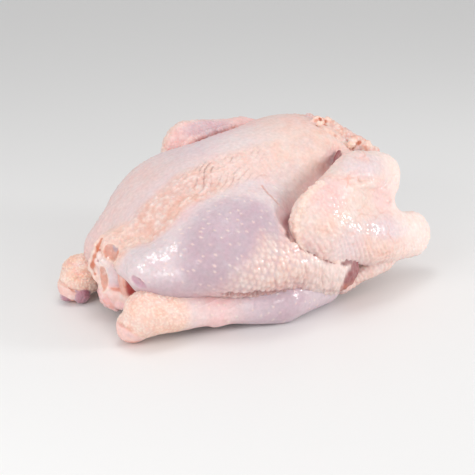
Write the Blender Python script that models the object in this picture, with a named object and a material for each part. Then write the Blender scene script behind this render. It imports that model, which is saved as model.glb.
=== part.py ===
"""A whole raw turkey lying on its breast with its back up, as one solid.

The neck end points to +X, the tail to -X and up is +Z. The side at -Y is called near
and the side at +Y far. z = 0 is the surface that the bird rests on. Lengths are metres.

The bird is a distance field: every mass, limb and cut gives for a point how far it
lies outside it, the masses are blended, and one skin is meshed where the sum is zero.
"""
import itertools
import math

import bpy
import numpy as np

# The coordinates below draw the bird DRAWN_LENGTH long, and this one is BIRD_LENGTH long
BIRD_LENGTH = 0.375
DRAWN_LENGTH = 0.4237
SCALE = BIRD_LENGTH / DRAWN_LENGTH

# Mesh: grid cells, how many of them a rough cell spans, and how near the skin, in rough
# cells, the distances are worked out again
CELL = 0.0055
ROUGH_CELLS = 3
NEAR_SKIN = 1.6
BOX_LOW = (-0.250, -0.170, -0.036)
BOX_HIGH = (0.240, 0.165, 0.215)
FACES_KEPT = 0.30
SMOOTH_FACTOR = 0.5
SMOOTH_STEPS = 1

# What counts as open to the air, and the depth given to a filled grid point, in cells
OPEN_GAP = 0.5
FILLED_DEPTH = 0.1

# Linear red, green and blue
SKIN_COLOUR = (0.83, 0.62, 0.58)
SKIN_ROUGHNESS = 0.38

# The block whose top is the surface that the bird rests on
CUTTER_SIZE = (0.7, 0.6, 0.1)

# Where the middle of the bird's own length and width lies, in the coordinates used below
MIDDLE = (-0.0051, -0.0039, 0.0)

# Trunk: centre, radii and turn in degrees about X, Y and Z
BACK = ((0.050, 0.014, 0.096), (0.138, 0.094, 0.090), (5, -3, 0))
SHOULDERS = ((0.084, 0.012, 0.128), (0.076, 0.076, 0.060), (4, 6, 0))
BREAST = ((0.050, 0.000, 0.062), (0.130, 0.096, 0.072), (0, 0, 0))
KEEL = ((0.062, 0.000, 0.020), (0.095, 0.040, 0.034), (0, 0, 0))
PELVIS = ((-0.062, 0.011, 0.095), (0.124, 0.091, 0.068), (6, -22, 0))
TRUNK_BLEND = 0.026
JOINT_BLEND = 0.006

# Thighs: hip, outer muscle, knee and the rounded rear end of the thigh
THIGHS = {
    "near": (
        ((-0.066, -0.064, 0.088), (0.096, 0.058, 0.054), (12, -12, -6)),
        ((-0.040, -0.100, 0.073), (0.098, 0.049, 0.041), (-6, 4, -4)),
        ((0.032, -0.115, 0.051), (0.046, 0.032, 0.035), (0, 14, -5)),
        ((-0.152, -0.061, 0.066), (0.047, 0.036, 0.031), (0, 24, 10)),
    ),
    "far": (
        ((-0.062, 0.067, 0.093), (0.092, 0.060, 0.061), (-8, -20, 6)),
        ((-0.035, 0.098, 0.072), (0.093, 0.046, 0.042), (8, 2, 4)),
        ((0.042, 0.112, 0.048), (0.044, 0.030, 0.036), (0, 10, 5)),
        ((-0.146, 0.050, 0.064), (0.042, 0.032, 0.034), (0, -16, -10)),
    ),
}
THIGH_BLEND = 0.025
HIP_BLEND = 0.015

# Drumsticks: knee, calf, shank, the knob of the hock and its cut end
DRUMSTICKS = {
    "near": ((0.036, -0.109, 0.024), (-0.030, -0.114, 0.024), (-0.108, -0.101, 0.025),
             (-0.185, -0.081, 0.036), (-0.198, -0.072, 0.020)),
    "far": ((0.035, 0.116, 0.026), (-0.035, 0.116, 0.025), (-0.110, 0.094, 0.025),
            (-0.187, 0.068, 0.029), (-0.199, 0.066, 0.019)),
}
DRUMSTICK_RADII = (0.023, 0.027, 0.0165, 0.0235, 0.0185)
DRUMSTICK_CREASE = 0.003

# Bare ends of the far leg's bones, under the knob of the hock
KNUCKLES = (((-0.2080, 0.0610, 0.0100), (0.0090, 0.0090, 0.0075)),
            ((-0.1950, 0.0500, 0.0105), (0.0100, 0.0090, 0.0095)))
KNUCKLE_CREASE = 0.0015

# Wings: shoulder, upper arm, elbow; then forearm from elbow to wrist; then the tip under it
UPPER_ARMS = {
    "near": ((0.139, -0.083, 0.131), (0.094, -0.095, 0.140), (0.020, -0.118, 0.117)),
    "far": ((0.116, 0.086, 0.138), (0.062, 0.100, 0.149), (-0.015, 0.104, 0.154)),
}
FOREARMS = {
    "near": ((0.018, -0.127, 0.098), (0.092, -0.127, 0.075), (0.178, -0.104, 0.055)),
    "far": ((-0.010, 0.116, 0.135), (0.072, 0.119, 0.085), (0.160, 0.102, 0.052)),
}
WING_TIPS = {
    "near": ((0.175, -0.102, 0.050), (0.125, -0.112, 0.036), (0.062, -0.116, 0.018)),
    "far": ((0.163, 0.097, 0.028), (0.095, 0.107, 0.016), (0.032, 0.112, 0.011)),
}
UPPER_ARM_RADII = {"near": (0.031, 0.031, 0.026), "far": (0.026, 0.026, 0.023)}
FOREARM_RADII = {"near": (0.034, 0.030, 0.028), "far": (0.023, 0.029, 0.026)}
WING_TIP_RADII = (0.016, 0.013, 0.009)
WING_WEB_RADII = (0.028, 0.024)
WING_THICKNESS = 0.72
WEB_THICKNESS = 0.35
WING_LEAN = {"near": (0.1, 1.0, -0.2), "far": (-0.1, 1.0, 0.2)}
WING_BLEND = 0.015
WING_CREASE = 0.004

# Tail, the web of skin beside it, the wounds in its end, and the fold of skin below the vent
TAIL = ((-0.130, 0.000, 0.088), (-0.176, 0.002, 0.074), (-0.182, 0.002, 0.030))
TAIL_RADII = (0.040, 0.027, 0.020)
TAIL_THICKNESS = 0.8
TAIL_BLEND = 0.006
TAIL_WEB = ((-0.171, -0.037, 0.078), (0.026, 0.024, 0.019), (0, -10, 0))
TAIL_WEB_BLEND = 0.008
TAIL_CLEFT = ((-0.183, -0.027, 0.064), (-0.181, -0.034, 0.052), (-0.176, -0.042, 0.038))
TAIL_CLEFT_RADII = (0.0015, 0.0065, 0.0085)
TAIL_BAND = ((-0.194, -0.004, 0.034), (-0.188, -0.017, 0.035), (-0.180, -0.032, 0.037), (-0.178, -0.056, 0.040))
TAIL_BAND_RADII = (0.0050, 0.0065, 0.0075, 0.0065)
TAIL_CREASE = 0.002
TAIL_WOUNDS = (((-0.198, -0.020, 0.090), 0.0105), ((-0.206, -0.016, 0.060), 0.0085))
CUT_EDGE = 0.003

# Neck end: the rolled rim of the neck skin, and the hollow that it closes over
NECK_RIM = ((0.146, -0.004, 0.126), (0.026, 0.058, 0.042), (0, 20, 0))
NECK_FOLD = ((0.094, 0.044, 0.176), (0.112, 0.018, 0.182), (0.126, -0.002, 0.176), (0.138, -0.022, 0.166),
             (0.147, -0.040, 0.158), (0.154, -0.056, 0.151))
NECK_FOLD_RADII = (0.006, 0.008, 0.009, 0.009, 0.010, 0.008)
NECK_CREASE = 0.008

# The lip of the thigh's skin over the drumstick, from the tail to the knee
THIGH_LIP = ((-0.206, -0.072, 0.062), (-0.190, -0.090, 0.053), (-0.166, -0.099, 0.045), (-0.130, -0.114, 0.045),
             (-0.104, -0.123, 0.049), (-0.072, -0.133, 0.046), (-0.016, -0.145, 0.040), (0.034, -0.142, 0.024))
THIGH_LIP_RADII = (0.003, 0.004, 0.004, 0.004, 0.005, 0.006, 0.005, 0.004)

# The cleft between the back and the near upper arm, from the neck end down to the elbow;
# the back rolls softly into it
WING_CLEFT = ((0.103, -0.052, 0.162), (0.074, -0.070, 0.149), (0.043, -0.083, 0.139), (0.012, -0.100, 0.131),
              (-0.014, -0.120, 0.122), (-0.022, -0.132, 0.108), (-0.016, -0.140, 0.094), (0.006, -0.146, 0.080),
              (0.040, -0.147, 0.060))
WING_CLEFT_RADII = (0.004, 0.008, 0.012, 0.015, 0.014, 0.011, 0.008, 0.006, 0.003)
WING_CLEFT_ROLL = 0.014


def turn_matrix(degrees):
    ax, ay, az = (math.radians(value) for value in degrees)
    about_x = np.array(((1, 0, 0), (0, math.cos(ax), -math.sin(ax)), (0, math.sin(ax), math.cos(ax))))
    about_y = np.array(((math.cos(ay), 0, math.sin(ay)), (0, 1, 0), (-math.sin(ay), 0, math.cos(ay))))
    about_z = np.array(((math.cos(az), -math.sin(az), 0), (math.sin(az), math.cos(az), 0), (0, 0, 1)))
    return about_z @ about_y @ about_x


def ellipsoid(points, centre, radii, turn=(0, 0, 0)):
    """Distance to an ellipsoid, close to exact near its skin."""
    local = (points - np.array(centre)) @ turn_matrix(turn)
    scaled = np.linalg.norm(local / np.array(radii), axis=1)
    slope = np.linalg.norm(local / np.array(radii) ** 2, axis=1) + 1e-9
    return scaled * (scaled - 1) / slope


def limb(points, joints, radii, flat_axis=None, thickness=1.0):
    """Distance to a limb that tapers from joint to joint, flattened along flat_axis."""
    joints = np.array(joints)
    if flat_axis is not None:
        axis = np.array(flat_axis) / np.linalg.norm(flat_axis)
        middle = joints.mean(axis=0)
        stretch = np.eye(3) + np.outer(axis, axis) * (1 / thickness - 1)
        points = (points - middle) @ stretch
        joints = (joints - middle) @ stretch
    distance = None
    for start, end, first, last in zip(joints[:-1], joints[1:], radii[:-1], radii[1:]):
        run = end - start
        along = np.clip((points - start) @ run / (run @ run), 0, 1)
        radius = first + (last - first) * along * along * (3 - 2 * along)
        section = np.linalg.norm(points - start - along[:, None] * run, axis=1) - radius
        distance = section if distance is None else blend(distance, section, JOINT_BLEND)
    return distance * thickness


def blend(first, second, width):
    """Union of two distances, rounded over the width."""
    share = np.clip(0.5 + 0.5 * (second - first) / width, 0, 1)
    return second + (first - second) * share - width * share * (1 - share)


def carve(solid, tool, width):
    """The solid without the tool, its edges rounded over the width."""
    return -blend(-solid, tool, width)


def trunk(points):
    distance = blend(ellipsoid(points, *BACK), ellipsoid(points, *SHOULDERS), TRUNK_BLEND)
    for mass in (BREAST, KEEL, PELVIS):
        distance = blend(distance, ellipsoid(points, *mass), TRUNK_BLEND)
    return distance


def thigh(points, side):
    distance = None
    for mass in THIGHS[side]:
        part = ellipsoid(points, *mass)
        distance = part if distance is None else blend(distance, part, THIGH_BLEND)
    return distance


def wing(points, side):
    lean = WING_LEAN[side]
    upper = limb(points, UPPER_ARMS[side], UPPER_ARM_RADII[side], lean, WING_THICKNESS)
    fore = limb(points, FOREARMS[side], FOREARM_RADII[side], lean, WING_THICKNESS)
    inner = (np.array(UPPER_ARMS[side][2]) + np.array(FOREARMS[side][0])) / 2
    outer = (np.array(UPPER_ARMS[side][0]) + np.array(FOREARMS[side][1])) / 2
    web = limb(points, (inner, outer), WING_WEB_RADII, lean, WEB_THICKNESS)
    tip = limb(points, WING_TIPS[side], WING_TIP_RADII)
    folded = blend(blend(upper, fore, WING_BLEND), web, WING_BLEND)
    return blend(folded, tip, WING_CREASE)


def tail(points):
    return limb(points, TAIL, TAIL_RADII, (1, 0, 0), TAIL_THICKNESS)


def drumstick(points, side):
    distance = limb(points, DRUMSTICKS[side], DRUMSTICK_RADII)
    if side == "far":
        for centre, radii in KNUCKLES:
            distance = blend(distance, ellipsoid(points, centre, radii), KNUCKLE_CREASE)
    return distance


def turkey(points):
    """Distance to the whole bird."""
    distance = trunk(points)
    for side in ("near", "far"):
        distance = blend(distance, thigh(points, side), HIP_BLEND)
    distance = blend(distance, tail(points), TAIL_BLEND)
    distance = blend(distance, ellipsoid(points, *TAIL_WEB), TAIL_WEB_BLEND)
    distance = carve(distance, limb(points, TAIL_CLEFT, TAIL_CLEFT_RADII), CUT_EDGE)
    distance = blend(distance, limb(points, TAIL_BAND, TAIL_BAND_RADII), TAIL_CREASE)
    for centre, radius in TAIL_WOUNDS:
        distance = carve(distance, np.linalg.norm(points - np.array(centre), axis=1) - radius, CUT_EDGE)
    distance = blend(distance, ellipsoid(points, *NECK_RIM), NECK_CREASE)
    distance = blend(distance, limb(points, NECK_FOLD, NECK_FOLD_RADII), NECK_CREASE / 2)
    distance = carve(distance, limb(points, WING_CLEFT, WING_CLEFT_RADII), WING_CLEFT_ROLL)
    distance = carve(distance, limb(points, THIGH_LIP, THIGH_LIP_RADII), CUT_EDGE)
    for side in ("near", "far"):
        distance = blend(distance, drumstick(points, side), DRUMSTICK_CREASE)
        distance = blend(distance, wing(points, side), WING_CREASE)
    return distance


def sampled_field(shape):
    """The shape's distances on a grid: coarse everywhere, true near the skin."""
    low = np.array(BOX_LOW)
    wide = CELL * ROUGH_CELLS
    counts = np.ceil((np.array(BOX_HIGH) - low) / wide).astype(int) + 1
    axes = [low[axis] + wide * np.arange(counts[axis]) for axis in range(3)]
    grid = np.stack(np.meshgrid(*axes, indexing="ij"), -1).reshape(-1, 3)
    field = shape(grid).reshape(counts)
    for axis in range(3):
        fine = np.arange((counts[axis] - 1) * ROUGH_CELLS + 1) / ROUGH_CELLS
        left = np.minimum(fine.astype(int), counts[axis] - 2)
        share = (fine - left).reshape([-1 if other == axis else 1 for other in range(3)])
        field = np.take(field, left, axis) * (1 - share) + np.take(field, left + 1, axis) * share
    near_skin = np.abs(field) < wide * NEAR_SKIN
    field[near_skin] = shape(np.argwhere(near_skin) * CELL + low)
    return field


def grown(region):
    """The region and the grid points next to it."""
    wider = region.copy()
    for axis in range(3):
        low = tuple(slice(0, -1) if other == axis else slice(None) for other in range(3))
        high = tuple(slice(1, None) if other == axis else slice(None) for other in range(3))
        wider[low] |= region[high]
        wider[high] |= region[low]
    return wider


def without_pockets(field):
    """Fills what outside air can't reach through gaps wider than a cell."""
    free = field > CELL * OPEN_GAP
    reached = np.zeros(field.shape, bool)
    reached[:, :, -1] = True
    count = 0
    while reached.sum() > count:
        count = reached.sum()
        reached = grown(reached) & free
    return np.where(grown(grown(reached)), field, -np.abs(field))


def shifted(values, step):
    """At each grid point, the value that lies the step away."""
    return np.roll(values, [-size for size in step], (0, 1, 2))


def without_pinches(field):
    """Fills grid points where two parts of the skin would meet at one edge or corner."""
    choices = list(itertools.product((0, 1), repeat=3))
    ways = [way for way in itertools.product((-1, 0, 1), repeat=3) if way > (0, 0, 0)]
    pinched = True
    while pinched:
        pinched = False
        for way in ways:
            spanned = sorted({tuple(np.multiply(way, choice).tolist()) for choice in choices})
            between = [step for step in spanned if step not in ((0, 0, 0), way)]
            if not between:
                continue
            inside = field < 0
            across = shifted(inside, way)
            some_in = np.logical_or.reduce([shifted(inside, step) for step in between])
            all_in = np.logical_and.reduce([shifted(inside, step) for step in between])
            meet = (inside & across & ~some_in) | (~inside & ~across & all_in)
            pinched = pinched or meet.any()
            for step in spanned:
                filled = shifted(meet, [-size for size in step]) & (field >= 0)
                field = np.where(filled, -CELL * FILLED_DEPTH, field)
    return field


def skin_vertices(field):
    """One vertex in each grid cell that the skin crosses, at the mean of its crossings."""
    cells_wide = [size - 1 for size in field.shape]
    corners = [(i, j, k) for i in (0, 1) for j in (0, 1) for k in (0, 1)]
    inside_corners = np.zeros(cells_wide, int)
    for corner in corners:
        window = tuple(slice(step, step + size) for step, size in zip(corner, cells_wide))
        inside_corners += field[window] < 0
    crossed = (inside_corners > 0) & (inside_corners < 8)
    cells = np.argwhere(crossed)
    number = np.full(crossed.shape, -1)
    number[crossed] = np.arange(len(cells))
    values = [field[tuple((cells + corner).T)] for corner in corners]
    total = np.zeros((len(cells), 3))
    crossings = np.zeros(len(cells))
    for first, start in enumerate(corners):
        for second in range(first + 1, 8):
            run = np.array(corners[second]) - start
            if abs(run).sum() != 1:
                continue
            hit = (values[first] < 0) != (values[second] < 0)
            share = values[first][hit] / (values[first][hit] - values[second][hit])
            total[hit] += np.array(start) + share[:, None] * run
            crossings[hit] += 1
    return (cells + total / crossings[:, None]) * CELL + BOX_LOW, number


def skin_faces(field, number):
    """A quad across each grid edge that the skin crosses, facing out."""
    inside = field < 0
    faces = []
    for axis in range(3):
        side, up = np.eye(3, dtype=int)[(axis + 1) % 3], np.eye(3, dtype=int)[(axis + 2) % 3]
        ahead = np.roll(inside, -1, axis)
        for leaving in (True, False):
            edges = np.argwhere((inside & ~ahead) if leaving else (~inside & ahead))
            ring = [number[tuple((edges - step).T)] for step in (side + up, up, 0 * up, side)]
            quads = np.stack(ring, 1)
            faces.append(quads if leaving else quads[:, ::-1])
    return np.concatenate(faces)


def skin_mesh(name, shape):
    field = without_pinches(without_pockets(sampled_field(shape)))
    vertices, number = skin_vertices(field)
    faces = skin_faces(field, number)
    mesh = bpy.data.meshes.new(name)
    mesh.from_pydata(((vertices - MIDDLE) * SCALE).tolist(), [], faces.tolist())
    mesh.shade_smooth()
    return mesh


def skin_material():
    material = bpy.data.materials.new("raw_skin")
    material.use_nodes = True
    shader = material.node_tree.nodes["Principled BSDF"]
    shader.inputs["Base Color"].default_value = (*SKIN_COLOUR, 1.0)
    shader.inputs["Roughness"].default_value = SKIN_ROUGHNESS
    shader.inputs["Metallic"].default_value = 0.0
    return material


def resting_cutter():
    """A block below z = 0 that cuts the flats on which the bird's weight rests."""
    bpy.ops.mesh.primitive_cube_add(size=1, location=(0, 0, -CUTTER_SIZE[2] / 2))
    cutter = bpy.context.active_object
    cutter.name = "resting_cutter"
    cutter.scale = CUTTER_SIZE
    cutter.hide_render = True
    cutter.display_type = "WIRE"
    return cutter


def build_turkey():
    mesh = skin_mesh("turkey", turkey)
    mesh.materials.append(skin_material())
    bird = bpy.data.objects.new("turkey", mesh)
    bpy.context.scene.collection.objects.link(bird)
    smooth = bird.modifiers.new("smooth", "SMOOTH")
    smooth.factor = SMOOTH_FACTOR
    smooth.iterations = SMOOTH_STEPS
    fewer = bird.modifiers.new("fewer_faces", "DECIMATE")
    fewer.ratio = FACES_KEPT
    flats = bird.modifiers.new("resting_flats", "BOOLEAN")
    flats.operation = "DIFFERENCE"
    flats.object = resting_cutter()
    return bird


for leftover in list(bpy.data.objects):
    bpy.data.objects.remove(leftover, do_unlink=True)
build_turkey()
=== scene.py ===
"""Looks of the whole raw turkey: wet skin with folds, pimples, lips and cut places.

The bird is drawn, as in the part's source, DRAWN_LENGTH long with its neck end at +X, and
is brought to the frame's length at the end. A mass or limb is a distance field: for each
point, how far it lies outside the form. The skin is meshed where the blended sum is zero.
"""

import math

import bpy
import numpy as np
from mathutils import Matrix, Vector


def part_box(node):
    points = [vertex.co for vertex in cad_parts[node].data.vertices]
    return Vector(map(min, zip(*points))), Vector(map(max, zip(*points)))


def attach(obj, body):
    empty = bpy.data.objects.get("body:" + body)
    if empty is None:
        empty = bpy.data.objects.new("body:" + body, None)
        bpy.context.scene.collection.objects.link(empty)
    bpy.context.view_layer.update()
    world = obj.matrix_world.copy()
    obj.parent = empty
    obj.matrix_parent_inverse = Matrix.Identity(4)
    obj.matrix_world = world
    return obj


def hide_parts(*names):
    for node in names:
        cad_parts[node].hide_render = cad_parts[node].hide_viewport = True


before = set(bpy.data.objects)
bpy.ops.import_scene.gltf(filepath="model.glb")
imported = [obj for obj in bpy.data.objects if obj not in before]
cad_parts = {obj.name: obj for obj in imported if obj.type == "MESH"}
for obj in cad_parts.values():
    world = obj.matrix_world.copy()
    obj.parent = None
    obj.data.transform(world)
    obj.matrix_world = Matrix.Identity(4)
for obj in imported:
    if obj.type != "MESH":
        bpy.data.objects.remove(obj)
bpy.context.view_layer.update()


def mm(values):
    """Millimetres, in tuples or dicts, as metres."""
    if isinstance(values, dict):
        return {key: mm(value) for key, value in values.items()}
    if isinstance(values, tuple):
        return tuple(mm(value) for value in values)
    return values / 1000


# How the drawn coordinates become the frame's
DRAWN_LENGTH = 0.4223
DRAWN_MIDDLE = np.array((-0.0051, -0.0039, 0.0))
low_corner, high_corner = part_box("turkey")
SCALE = (high_corner[0] - low_corner[0]) / DRAWN_LENGTH

# Grid cells of the pieces' skins, drawn metres
COARSENESS = 1.0
BODY_CELL = 0.0015 * COARSENESS
WING_CELL = 0.0013 * COARSENESS
LEG_CELL = 0.0009 * COARSENESS
ROUGH_CELLS = 4
BODY_SEAM_X = 0.008

# Trunk: centre, radii and turn in degrees about X, Y and Z
BACK = ((0.05, 0.014, 0.096), (0.138, 0.094, 0.09), (5, -3, 0))
SHOULDERS = ((0.084, 0.012, 0.128), (0.076, 0.076, 0.06), (4, 6, 0))
BREAST = ((0.05, 0.0, 0.062), (0.13, 0.096, 0.072), (0, 0, 0))
KEEL = ((0.062, 0.0, 0.02), (0.095, 0.04, 0.034), (0, 0, 0))
PELVIS = ((-0.062, 0.011, 0.095), (0.124, 0.091, 0.068), (6, -22, 0))
TRUNK_BLEND = 0.026

# Thighs: hip, outer muscle, knee and the rounded rear end
THIGHS = {
    "near": (
        ((-0.066, -0.064, 0.088), (0.096, 0.058, 0.054), (12, -12, -6)),
        ((-0.04, -0.1, 0.073), (0.098, 0.049, 0.041), (-6, 4, -4)),
        ((0.032, -0.115, 0.051), (0.046, 0.032, 0.035), (0, 14, -5)),
        ((-0.152, -0.061, 0.066), (0.047, 0.036, 0.031), (0, 24, 10)),
    ),
    "far": (
        ((-0.062, 0.067, 0.093), (0.092, 0.06, 0.061), (-8, -20, 6)),
        ((-0.035, 0.098, 0.072), (0.093, 0.046, 0.042), (8, 2, 4)),
        ((0.042, 0.112, 0.048), (0.044, 0.03, 0.036), (0, 10, 5)),
        ((-0.146, 0.05, 0.064), (0.042, 0.032, 0.034), (0, -16, -10)),
    ),
}
THIGH_BLEND = 0.025

# Drumsticks: knee, calf, shank, the knob of the hock and its cut end
DRUMSTICKS = mm({
    "near": ((36, -109, 24), (-30, -114, 24), (-108, -101, 25),
             (-185, -81, 36), (-198, -72, 20)),
    "far": ((35, 116, 26), (-35, 116, 25), (-110, 94, 25),
            (-187, 68, 29), (-199, 66, 19)),
})
DRUMSTICK_RADII = mm((23, 27, 16.5, 23.5, 18.5))

# Cut ends of the hocks: the crease where the skin stops, and the far one's bare knuckles
HOCK_CREASES = mm({
    "near": ((-215, -66, 28), (-214, -76, 27), (-211, -87, 25),
             (-204, -95, 17), (-192, -97, 9)),
    "far": ((-213, 82, 30), (-217, 70, 29), (-215, 58, 26),
            (-206, 50, 20), (-192, 46, 14)),
})
CREASE_RADIUS = 0.0009
HOCK_END_WAY = {"near": (-0.62, 0.1, -0.78), "far": (-0.62, -0.2, -0.76)}
KNUCKLES = mm({
    "near": (),
    "far": (((-209, 65, 8.5), (8, 8.5, 6)),
            ((-196, 52, 11.5), (10, 7.5, 11.5))),
})
# How deep the knob's skin is wrinkled, metres, and the shares of apricot and pink in it
HOCK_SHARES = {"near": (0.0003, 0.25, 0.2), "far": (0.0009, 0.65, 0.5)}
GRISTLE = mm(((-205.5, 55.5, 13), (6, 5, 5)))

# Wings
UPPER_ARMS = mm({
    "near": ((139, -83, 131), (94, -95, 140), (20, -118, 117)),
    "far": ((116, 86, 138), (62, 100, 149), (-15, 104, 154)),
})
FOREARMS = mm({
    "near": ((18, -127, 98), (92, -127, 75), (178, -104, 55)),
    "far": ((-10, 116, 135), (72, 119, 85), (160, 102, 52)),
})
WING_TIPS = mm({
    "near": ((175, -102, 50), (125, -112, 36), (62, -116, 18)),
    "far": ((163, 97, 28), (95, 107, 16), (32, 112, 11)),
})
UPPER_ARM_RADII = mm({"near": (31, 31, 26), "far": (26, 26, 23)})
FOREARM_RADII = mm({"near": (34, 30, 28), "far": (23, 29, 26)})
WING_TIP_RADII = mm((16, 13, 9))
WING_WEB_RADII = mm((28, 24))
WING_THICKNESS = 0.72
WEB_THICKNESS = 0.35
WING_LEAN = {"near": (0.1, 1.0, -0.2), "far": (-0.1, 1.0, 0.2)}
WING_BLEND = 0.015
WING_CREASE = 0.004

# Tail, with the gland's wound, the slit below it, lumps of fat and the folds at its end. A path
# here is a row of points and the radius at each.
TAIL = mm((((-130, 0, 88), (-176, 2, 74), (-182, 2, 30)), (40, 27, 20)))
GLAND_WOUND = mm(((-201.5, -20.5, 92), (15, 15.5, 15.5)))
VENT_SLIT = mm(((-201, -6, 52), (7, 7, 15)))
CAVITY_FLAP = mm((((-189, 10, 98), (-195, 10, 88), (-198, 11, 78), (-200, 14, 67), (-200, 16, 59),
                  (-198, 10, 50), (-196, 4, 40)), (1, 2.2, 2.8, 3.2, 3.4, 3, 2)))
CAVITY_EDGE = mm((((-191, 6, 96), (-199, 4, 85), (-202, 6, 73), (-202, 9, 63), (-200, 8, 54)),
                  (0.6, 1.1, 1.6, 1.4, 0.6)))
TAIL_CLEFT = mm((((-183, -27, 64), (-181, -34, 52), (-176, -42, 38)), (1.5, 4.2, 5.2)))
TAIL_BAND = mm((((-194, -4, 34), (-188, -17, 35), (-180, -32, 37), (-178, -56, 40)), (5, 6.5, 7.5, 6.5)))
TAIL_FLESH = mm(((-180, -35, 56), (11.5, 16, 23)))
TAIL_SKIRT = mm((((-190, -8, 24), (-184, -22, 25), (-178, -38, 27), (-176, -56, 30)), (5, 6.5, 7, 7)))
TAIL_FOLD = mm((((-187, -22, 78), (-181, -24, 86), (-173, -23, 92), (-164, -29, 96), (-156, -40, 98)),
                (3.5, 4.8, 5, 4.2, 2)))
TAIL_RUFFLES = mm((((-196.5, 2, 33), 3.4), ((-196, -1, 29), 3.6), ((-194.5, -5, 25), 3.8),
                   ((-192.5, -8.5, 21.2), 3.6), ((-189.5, -11, 18), 3.6), ((-185.5, -12.5, 15), 3.4)))
FAT_LUMPS = mm((((-196.5, 0.5, 77.5), (3.6, 3.6, 4.8)), ((-196.5, -5.5, 72.8), (3.6, 4.4, 4.2)),
                ((-197, 4, 68.5), (4.2, 4.4, 5)), ((-194.5, -11, 71.2), (3, 3.8, 3.2))))
BLOOD_SPOTS = mm((((-199, 1, 72.8), 1.3), ((-196, 0, 85), 1.1)))
TAIL_WEB = ((-0.171, -0.037, 0.078), (0.026, 0.024, 0.019), (0, -10, 0))
TAIL_CREASE = mm((((-185, -30, 66), (-190, -24, 73), (-183, -30, 80), (-176, -34, 88), (-166, -40, 94),
                  (-156, -46, 96)), (2.2, 2, 1.8, 1.8, 1.4, 0.8)))
NICK = mm(((-190.5, -70.5, 75), (-189, -75.5, 72), (-186.5, -81.5, 68)))
NICK_RADII = mm((2.8, 3.2, 0.8))

# Neck end: the rim, the roll of loose skin over the cut neck, torn pits in it and shreds of fat
NECK_RIM = ((0.146, -0.004, 0.126), (0.026, 0.058, 0.042), (0, 20, 0))
NECK_FOLD = mm((((94, 44, 176), (112, 18, 182), (126, -2, 176), (138, -22, 166), (147, -40, 158),
                (154, -56, 151)), (6, 8.5, 9.5, 9.5, 10, 9)))
NECK_PITS = mm((((117, -10, 186), 3.6), ((111, -6, 190), 2.2), ((118, -31, 174), 3.6),
                ((139, -47, 165), 3)))
NECK_GROOVE = mm((((92, -6, 191), (102, -16, 188), (111, -26, 180), (120, -35, 170), (130, -43, 162),
                  (142, -56, 158)), (1, 3, 4.2, 4.4, 3.6, 1.5)))
NECK_SHREDS = mm((((110, -3, 190), (8.5, 5, 4.5)), ((122, -4, 186), (6, 5, 4.5)), ((104, -16, 188),
                  (7, 3.5, 3)), ((132, -41, 163), (6.5, 4.5, 4)), ((139, -38, 166), (5.5, 6, 4.5)),
                  ((150, -50, 160), (7, 7, 6))))

# The lip of the thigh's skin over the drumstick, and the cleft beside the upper arm
THIGH_LIP = mm((((-206, -72, 62), (-190, -90, 53), (-166, -99, 45), (-130, -114, 45), (-104, -123, 49),
                (-72, -133, 46), (-16, -145, 40), (34, -142, 24)), (3, 4, 4, 4, 5, 6, 5, 3)))
WING_CLEFT = mm((((103, -52, 162), (74, -70, 149), (43, -83, 139), (12, -100, 131), (-14, -120, 122),
                 (-22, -132, 108), (-16, -140, 94), (6, -146, 80), (40, -147, 60)),
                 (3, 6, 10, 13, 13, 10, 6, 4, 2)))
WING_CLEFT_ROLL = 0.014
SKIN_STRANDS = mm((((104, -52, 160), (94, -60, 156), (82, -68, 150)), ((108, -56, 158), (99, -63, 153),
                   (90, -70, 147))))
STRAND_RADII = mm((2.2, 1.7, 1.4))
TENSION_LINE = mm(((-21, -67, 146), (-23, -83, 141), (-21, -95, 135), (-15, -101, 125)))

# Beads of skin along the free edge of the near wing and of the thigh's lip
WING_EDGE = mm(((31, -110, 149), (10, -116, 143), (-4, -120, 135), (-13, -123, 122), (-17, -127, 108),
                (-16, -132, 93), (-10, -137, 81), (0, -141, 72), (13, -144, 66), (28, -146, 62)))
WING_FOLDS = mm((((64, -122, 147), (81, -120, 147), (96, -119, 145)), ((70, -124, 140), (90, -123, 133),
                 (110, -118, 125), (134, -114, 111)), ((104, -120, 130), (126, -114, 131),
                 (148, -107, 137))))
WING_FOLD_RADII = mm(((0.6, 1.8, 0.6), (0.6, 2.6, 3.4, 4), (0.6, 1.4, 0.6)))
WING_BEAD_SPACING = 0.0056
WING_BEAD_RADIUS = 0.0042
BEAD_SHARES = (0.85, 1.1, 0.95, 1.15, 0.8)
BEAD_REACH = 0.012
WING_RIDGE = mm(((26, -132, 138), (27, -140, 125), (38, -143, 113), (52, -144, 105), (70, -145, 99),
                 (84, -146, 94)))
FAR_WING_EDGE = mm(((-30, 87, 152), (-22, 87, 160), (0, 86, 167), (18, 86, 169), (44, 86, 171)))
LIP_BEAD_SPACING = 0.0062

# The tract of dense feather follicles along the spine
SPINE = mm(((118, -37, 170), (50, -47, 166), (-5, -43, 163), (-42, -32, 160), (-82, -31, 149),
            (-120, -25, 130), (-148, -25, 114), (-168, -20, 99), (-186, -14, 83)))
SPINE_HALF_WIDTH = 0.025
SKIN_AXIS_Z = 0.07
SKIN_AXIS_RADIUS = 0.1

# A share of paint too faint to matter, below which a place counts as bare
FAINT = 0.02

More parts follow.
